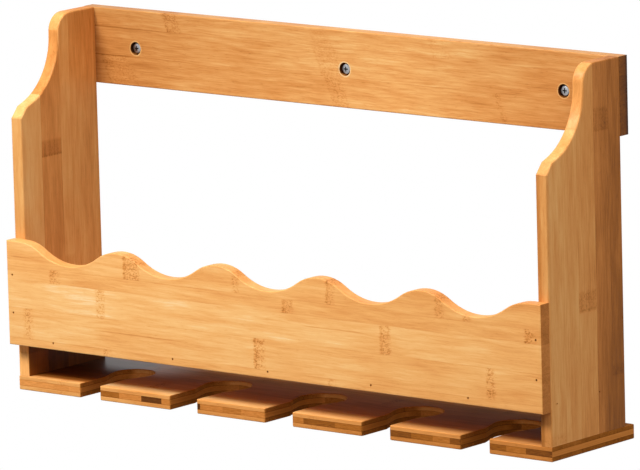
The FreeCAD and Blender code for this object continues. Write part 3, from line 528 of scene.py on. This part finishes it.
def steel(name, colour, roughness, ring_height, crosses=(), metallic=1.0):
    """Plated steel, turned about Y: fine rings, a cloudy plating and small dull spots.

    crosses are the (x, z) places of cross recesses, which are painted dull and dark inside as
    shade.
    """
    shader = Shader(name, roughness, 0.3, metallic=metallic)
    cloudy = shader.noise(shader.vector("SCALE", shader.place, scale=0.45), 3.0)
    rings = shader.noise(shader.scaled((shader.at["y"], 0.15)), 2.0)
    spots = shader.noise(shader.vector("SCALE", shader.place, scale=2.6), 1.0)
    spots = shader.span(spots, 0.62, 0.72)
    dark = tuple(channel * 0.72 for channel in colour)
    base = shader.blend_colour(shader.span(cloudy, 0.30, 0.70), (*dark, 1.0), (*colour, 1.0))
    dull = tuple(channel * 0.45 for channel in colour)
    base = shader.blend_colour(shader.math("MULTIPLY", spots, 0.6), base, (*dull, 1.0))
    # Painted shade in the cross recesses.
    if crosses:
        painted_cross_shade = shader.span(shader.at["y"], *CROSS_WALL)
        painted_cross_shade = shader.math("MULTIPLY", shader.near(crosses, CROSS_RADIUS), painted_cross_shade)
        base = shader.blend_colour(painted_cross_shade, base, (0.03, 0.03, 0.03, 1.0))
    shader.feed(shader.surface.inputs["Base Color"], base)
    rough = shader.sway(roughness, cloudy, 0.18)
    rough = shader.shift(rough, spots, 0.20)
    shader.feed(shader.surface.inputs["Roughness"], rough)
    shader.bump(shader.shift(spots, rings, ring_height), 0.00004, 0.6)
    return shader.material


# ---------------------------------------------------------------- dressing the CAD nodes

# (x, z) places in the row frame.
WALL_SCREWS = [(-240.5, 0.0), (0.0, 0.0), (240.5, 0.0)]
FRONT_BRADS = [(x, -251.0) for x in (-248, -109, -1, 114, 220)]
FRONT_BRADS += [(x, z) for x in (-294, 294) for z in (-227.5, -193.0)]

# Front-edge masks, (axis, start, full): for tint and painted light, and for painted shade.
TINTED_AND_LIT_EDGE = ("y", -115.6, -116.9)
SHADED_EDGE = ("y", -116.0, -116.8)

DRESS = {
    "front_panel": board(
        "bamboo_front", "x", "z", ALONG_WALL, FRONT_STRIPS, end_tone=0.71, brads=FRONT_BRADS,
        # Painted shade on the top faces.
        faces=[("z", 1.0, 0.95)], in_knots=(0.03, 0.30),
        # Painted light and shade: paler at the left end, darker towards the right.
        painted_shades=[("x", [(-300, 1.03), (0, 1.02), (120, 0.98), (300, 0.97)], None)],
        streaks=[(-234.1, -203.0, -88.0), (-176.0, -306.0, -262.0), (-206.0, 36.0, 120.0)],
    ),
    "back_rail": board(
        "bamboo_rail", "x", "z", ALONG_WALL, RAIL_STRIPS, end_tone=0.52, recesses=WALL_SCREWS,
        slant=0.4, contrast=1.5, streaks=[(17.6, -320.0, -190.0), (-8.0, -320.0, -225.0)],
        # Painted shade on both ends, where the side panels block the light, and at the back of the
        # right end.
        painted_shades=[
            ("x", [
                (-300, 0.86), (-200, 0.93), (0, 1.02), (110, 1.02), (200, 0.92), (300, 0.90),
            ], None),
            ("y", [(-12, 1.05), (-4, 0.95), (0, 0.45)], ("x", 298.5, 299.5)),
        ],
        # The rail's own darker tint, with painted shade at both ends and along the top.
        tint_and_painted_light=[
            ("x", [
                (-300, 0.66), (-145, 0.79), (-60, 0.82), (60, 0.88), (150, 0.84), (300, 0.80),
            ], None),
            ("z", [(-34.5, 1.04), (-10, 1.0), (34.5, 0.94)], None),
        ],
    ),
    "side_panel_left": board(
        "bamboo_side_left", "z", "y", SIDE_HEIGHT, LEFT_STRIPS, end_tone=1.05,
        # Painted shade on the front faces.
        faces=[("y", -1.0, 0.98)], in_knots=(0.13, 0.20), fray=1.2,
        # Painted shade at the back near the rail, and on the inner face under the shelf.
        painted_shades=[
            ("z", [(-288, 1.0), (-60, 1.0), (35, 0.82)], ("y", -60.0, -35.0)),
            ("z", [(-288, 0.50), (-259, 0.42), (-256, 1.0)], ("x", -288.6, -288.2)),
        ],
        # The front edge's own tint, with painted light below the front panel.
        tint_and_painted_light=[("z", [(-288, 1.22), (-258, 1.22), (-255, 0.88), (35, 0.88)], TINTED_AND_LIT_EDGE)],
    ),
    "side_panel_right": board(
        "bamboo_side_right", "z", "y", SIDE_HEIGHT, RIGHT_STRIPS, end_tone=1.05,
        # Painted shade on the front faces.
        faces=[("y", -1.0, 0.98)], in_knots=(0.07, 0.24), fray=2.0,
        # Painted shade: darker towards the bottom at the back, and on the front edge below the
        # front panel and along its inner side.
        painted_shades=[
            ("z", [(-288, 0.78), (-190, 0.88), (-100, 0.98), (35, 1.0)], ("y", -52.0, -30.0)),
            ("z", [(-288, 0.94), (-256, 0.78), (-253, 1.0)], SHADED_EDGE),
            ("x", [(288, 0.78), (291.5, 0.80), (293.5, 0.98), (300, 1.0)], SHADED_EDGE),
        ],
        # The front edge's own darker tint.
        tint_and_painted_light=[("z", [(-288, 0.88), (35, 0.88)], TINTED_AND_LIT_EDGE)],
    ),
    "bottle_shelf": board("bamboo_shelf", "x", "y", ALONG_WALL, SHELF_STRIPS),
    "glass_board": ply_board(
        "bamboo_ply", PLY_STRIPS, CORE_BLOCKS, PLY_LAYERS,
        shade=[(-300, 1.0), (-206, 0.99), (0, 0.98), (110, 0.95), (200, 0.89), (300, 0.82)],
        plies=[(-300, 1.0), (-160, 0.96), (-60, 0.93), (200, 0.91), (300, 0.88)],
        lower_ply=[
            (-300, 1.0), (-160, 0.98), (-60, 0.92), (60, 0.89), (150, 0.84), (240, 0.97),
            (300, 0.97),
        ],
        # Painted light just behind the front edge, and painted shade under the shelf.
        painted_shelf_shade=[(-117, 1.10), (-102, 1.08), (-88, 0.74), (-20, 0.62), (-8, 0.85), (0, 0.85)],
        # Painted shade on the first tongue and on those towards the right.
        painted_tongue_shade=[(-300, 0.50), (-228, 0.56), (-206, 1.05), (-10, 1.0), (200, 0.95), (300, 0.88)],
        # Painted shade towards the top face's left and right ends.
        tint_and_painted_light=[(-300, 0.86), (-206, 0.97), (60, 1.0), (150, 0.92), (210, 0.88), (300, 0.74)],
    ),
}
screw_steel = steel("screw_steel", (0.43, 0.43, 0.44), 0.32, 0.9, crosses=WALL_SCREWS)
brad_steel = steel("brad_steel", (0.19, 0.07, 0.02), 0.6, 0.5, metallic=0.4)

for name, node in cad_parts.items():
    if name in DRESS:
        material = DRESS[name]
    elif "brads" in name:
        material = brad_steel
    else:
        material = screw_steel
    for slot in node.material_slots:
        slot.material = material


# ---------------------------------------------------------------- camera

# Fitted to the outlines in the photograph.
CAMERA_LENS = 422.903
CAMERA_PLACE = (4.09035, -5.10013, 1.02961)
CAMERA_FORWARD = (-0.61960, 0.76460, -0.17742)
CAMERA_UP = (-0.09114, 0.15442, 0.98379)

camera_data = bpy.data.cameras.new("camera")
camera_data.lens = CAMERA_LENS
camera_data.sensor_width = 36.0
camera_data.clip_start = 0.1
camera_data.clip_end = 100.0
camera = bpy.data.objects.new("camera", camera_data)
bpy.context.scene.collection.objects.link(camera)
forward = Vector(CAMERA_FORWARD).normalized()
right = forward.cross(Vector(CAMERA_UP)).normalized()
above = right.cross(forward)
turn = Matrix((right, above, -forward)).transposed().to_4x4()
camera.matrix_world = Matrix.Translation(CAMERA_PLACE) @ turn
bpy.context.scene.camera = camera


# ---------------------------------------------------------------- lamps, world and floor

MIDDLE = Vector((0.0, -0.06, -0.14))  # the rack's middle, which the lamps are aimed at
FLOOR_RADIUS = 2.4
FLOOR_HEIGHT = -1.1
FLOOR_SIDES = 96
FLOOR_FADE = (0.62, 1.01)  # shares of its radius between which it turns white
FLOOR_LIFT = 0.66  # emission that is only seen and lights nothing; it makes the lit floor white


def softbox(name, azimuth, elevation, distance, size, level, colour=(1.0, 1.0, 1.0)):
    """A square lamp. At level 1, white paper that faces it comes out just white."""
    a, e = math.radians(azimuth), math.radians(elevation)
    away = Vector((math.sin(a) * math.cos(e), -math.cos(a) * math.cos(e), math.sin(e)))
    data = bpy.data.lights.new(name, "AREA")
    data.shape = "SQUARE"
    data.size = size
    data.energy = level * math.pi ** 2 * distance ** 2
    data.color = colour
    lamp = bpy.data.objects.new(name, data)
    lamp.location = MIDDLE + away * distance
    lamp.rotation_mode = "QUATERNION"
    lamp.rotation_quaternion = (-away).to_track_quat("-Z", "Y")
    bpy.context.scene.collection.objects.link(lamp)


softbox("key", -25.0, 45.5, 1.8, 0.55, 1.20)
softbox("fill", 65.0, 38.0, 2.4, 1.4, 0.49, (1.0, 0.95, 0.90))


def seen_directly(nodes, links):
    """1 for what the camera sees, also in a reflection or through glass, 0 for the light cast."""
    path = nodes.new("ShaderNodeLightPath")
    total = path.outputs["Is Camera Ray"]
    for name in ("Is Glossy Ray", "Is Transmission Ray"):
        either = nodes.new("ShaderNodeMath")
        either.operation = "MAXIMUM"
        links.new(total, either.inputs[0])
        links.new(path.outputs[name], either.inputs[1])
        total = either.outputs[0]
    return total


world = bpy.data.worlds.new("studio")
bpy.context.scene.world = world
world.use_nodes = True
nodes, links = world.node_tree.nodes, world.node_tree.links
sky = nodes["Background"]
sky.inputs["Color"].default_value = (1.0, 1.0, 1.0, 1.0)
heading = nodes.new("ShaderNodeTexCoord")
height = nodes.new("ShaderNodeSeparateXYZ")
links.new(heading.outputs["Generated"], height.inputs[0])
glow = nodes.new("ShaderNodeMapRange")  # the studio's soft light, from its floor to its ceiling
for name, value in {"From Min": -0.1, "From Max": 0.9, "To Min": 0.04, "To Max": 0.40}.items():
    glow.inputs[name].default_value = value
links.new(height.outputs["Z"], glow.inputs["Value"])
strength = nodes.new("ShaderNodeMix")
strength.data_type = "FLOAT"
links.new(seen_directly(nodes, links), strength.inputs[0])
links.new(glow.outputs["Result"], strength.inputs[2])
strength.inputs[3].default_value = 1.0
links.new(strength.outputs[0], sky.inputs["Strength"])


def floor_material():
    """A pale matt floor that keeps the rack's shadow and fades into the white surroundings."""
    shader = Shader("floor_paint", 0.7, 0.2)
    mottle = shader.noise(shader.vector("SCALE", shader.place, scale=0.02), 3.0)
    pale = shader.blend_colour(mottle, (0.43, 0.43, 0.42, 1.0), (0.47, 0.47, 0.46, 1.0))
    shader.feed(shader.surface.inputs["Base Color"], pale)
    seen = seen_directly(shader.nodes, shader.links)
    lift = shader.math("MULTIPLY", seen, FLOOR_LIFT)
    lift = shader.node("ShaderNodeEmission", {"Strength": lift})
    near = shader.node("ShaderNodeAddShader", {0: shader.surface.outputs[0], 1: lift.outputs[0]})
    away = shader.node("ShaderNodeVectorMath", {0: shader.place}, operation="LENGTH")
    start, full = (share * FLOOR_RADIUS * MM for share in FLOOR_FADE)
    rim = shader.math("MULTIPLY", seen, shader.span(away.outputs["Value"], start, full))
    white = shader.node("ShaderNodeEmission", {"Strength": 1.0})
    both = shader.node("ShaderNodeMixShader", {0: rim, 1: near.outputs[0], 2: white.outputs[0]})
    shader.links.new(both.outputs[0], shader.nodes["Material Output"].inputs["Surface"])
    return shader.material


mesh = bpy.data.meshes.new("floor")
around = [2 * math.pi * step / FLOOR_SIDES for step in range(FLOOR_SIDES)]
rim = [(FLOOR_RADIUS * math.cos(a), FLOOR_RADIUS * math.sin(a), FLOOR_HEIGHT) for a in around]
mesh.from_pydata(rim, [], [list(range(FLOOR_SIDES))])
mesh.materials.append(floor_material())
floor = bpy.data.objects.new("floor", mesh)
bpy.context.scene.collection.objects.link(floor)

bpy.context.scene.view_settings.view_transform = "Standard"
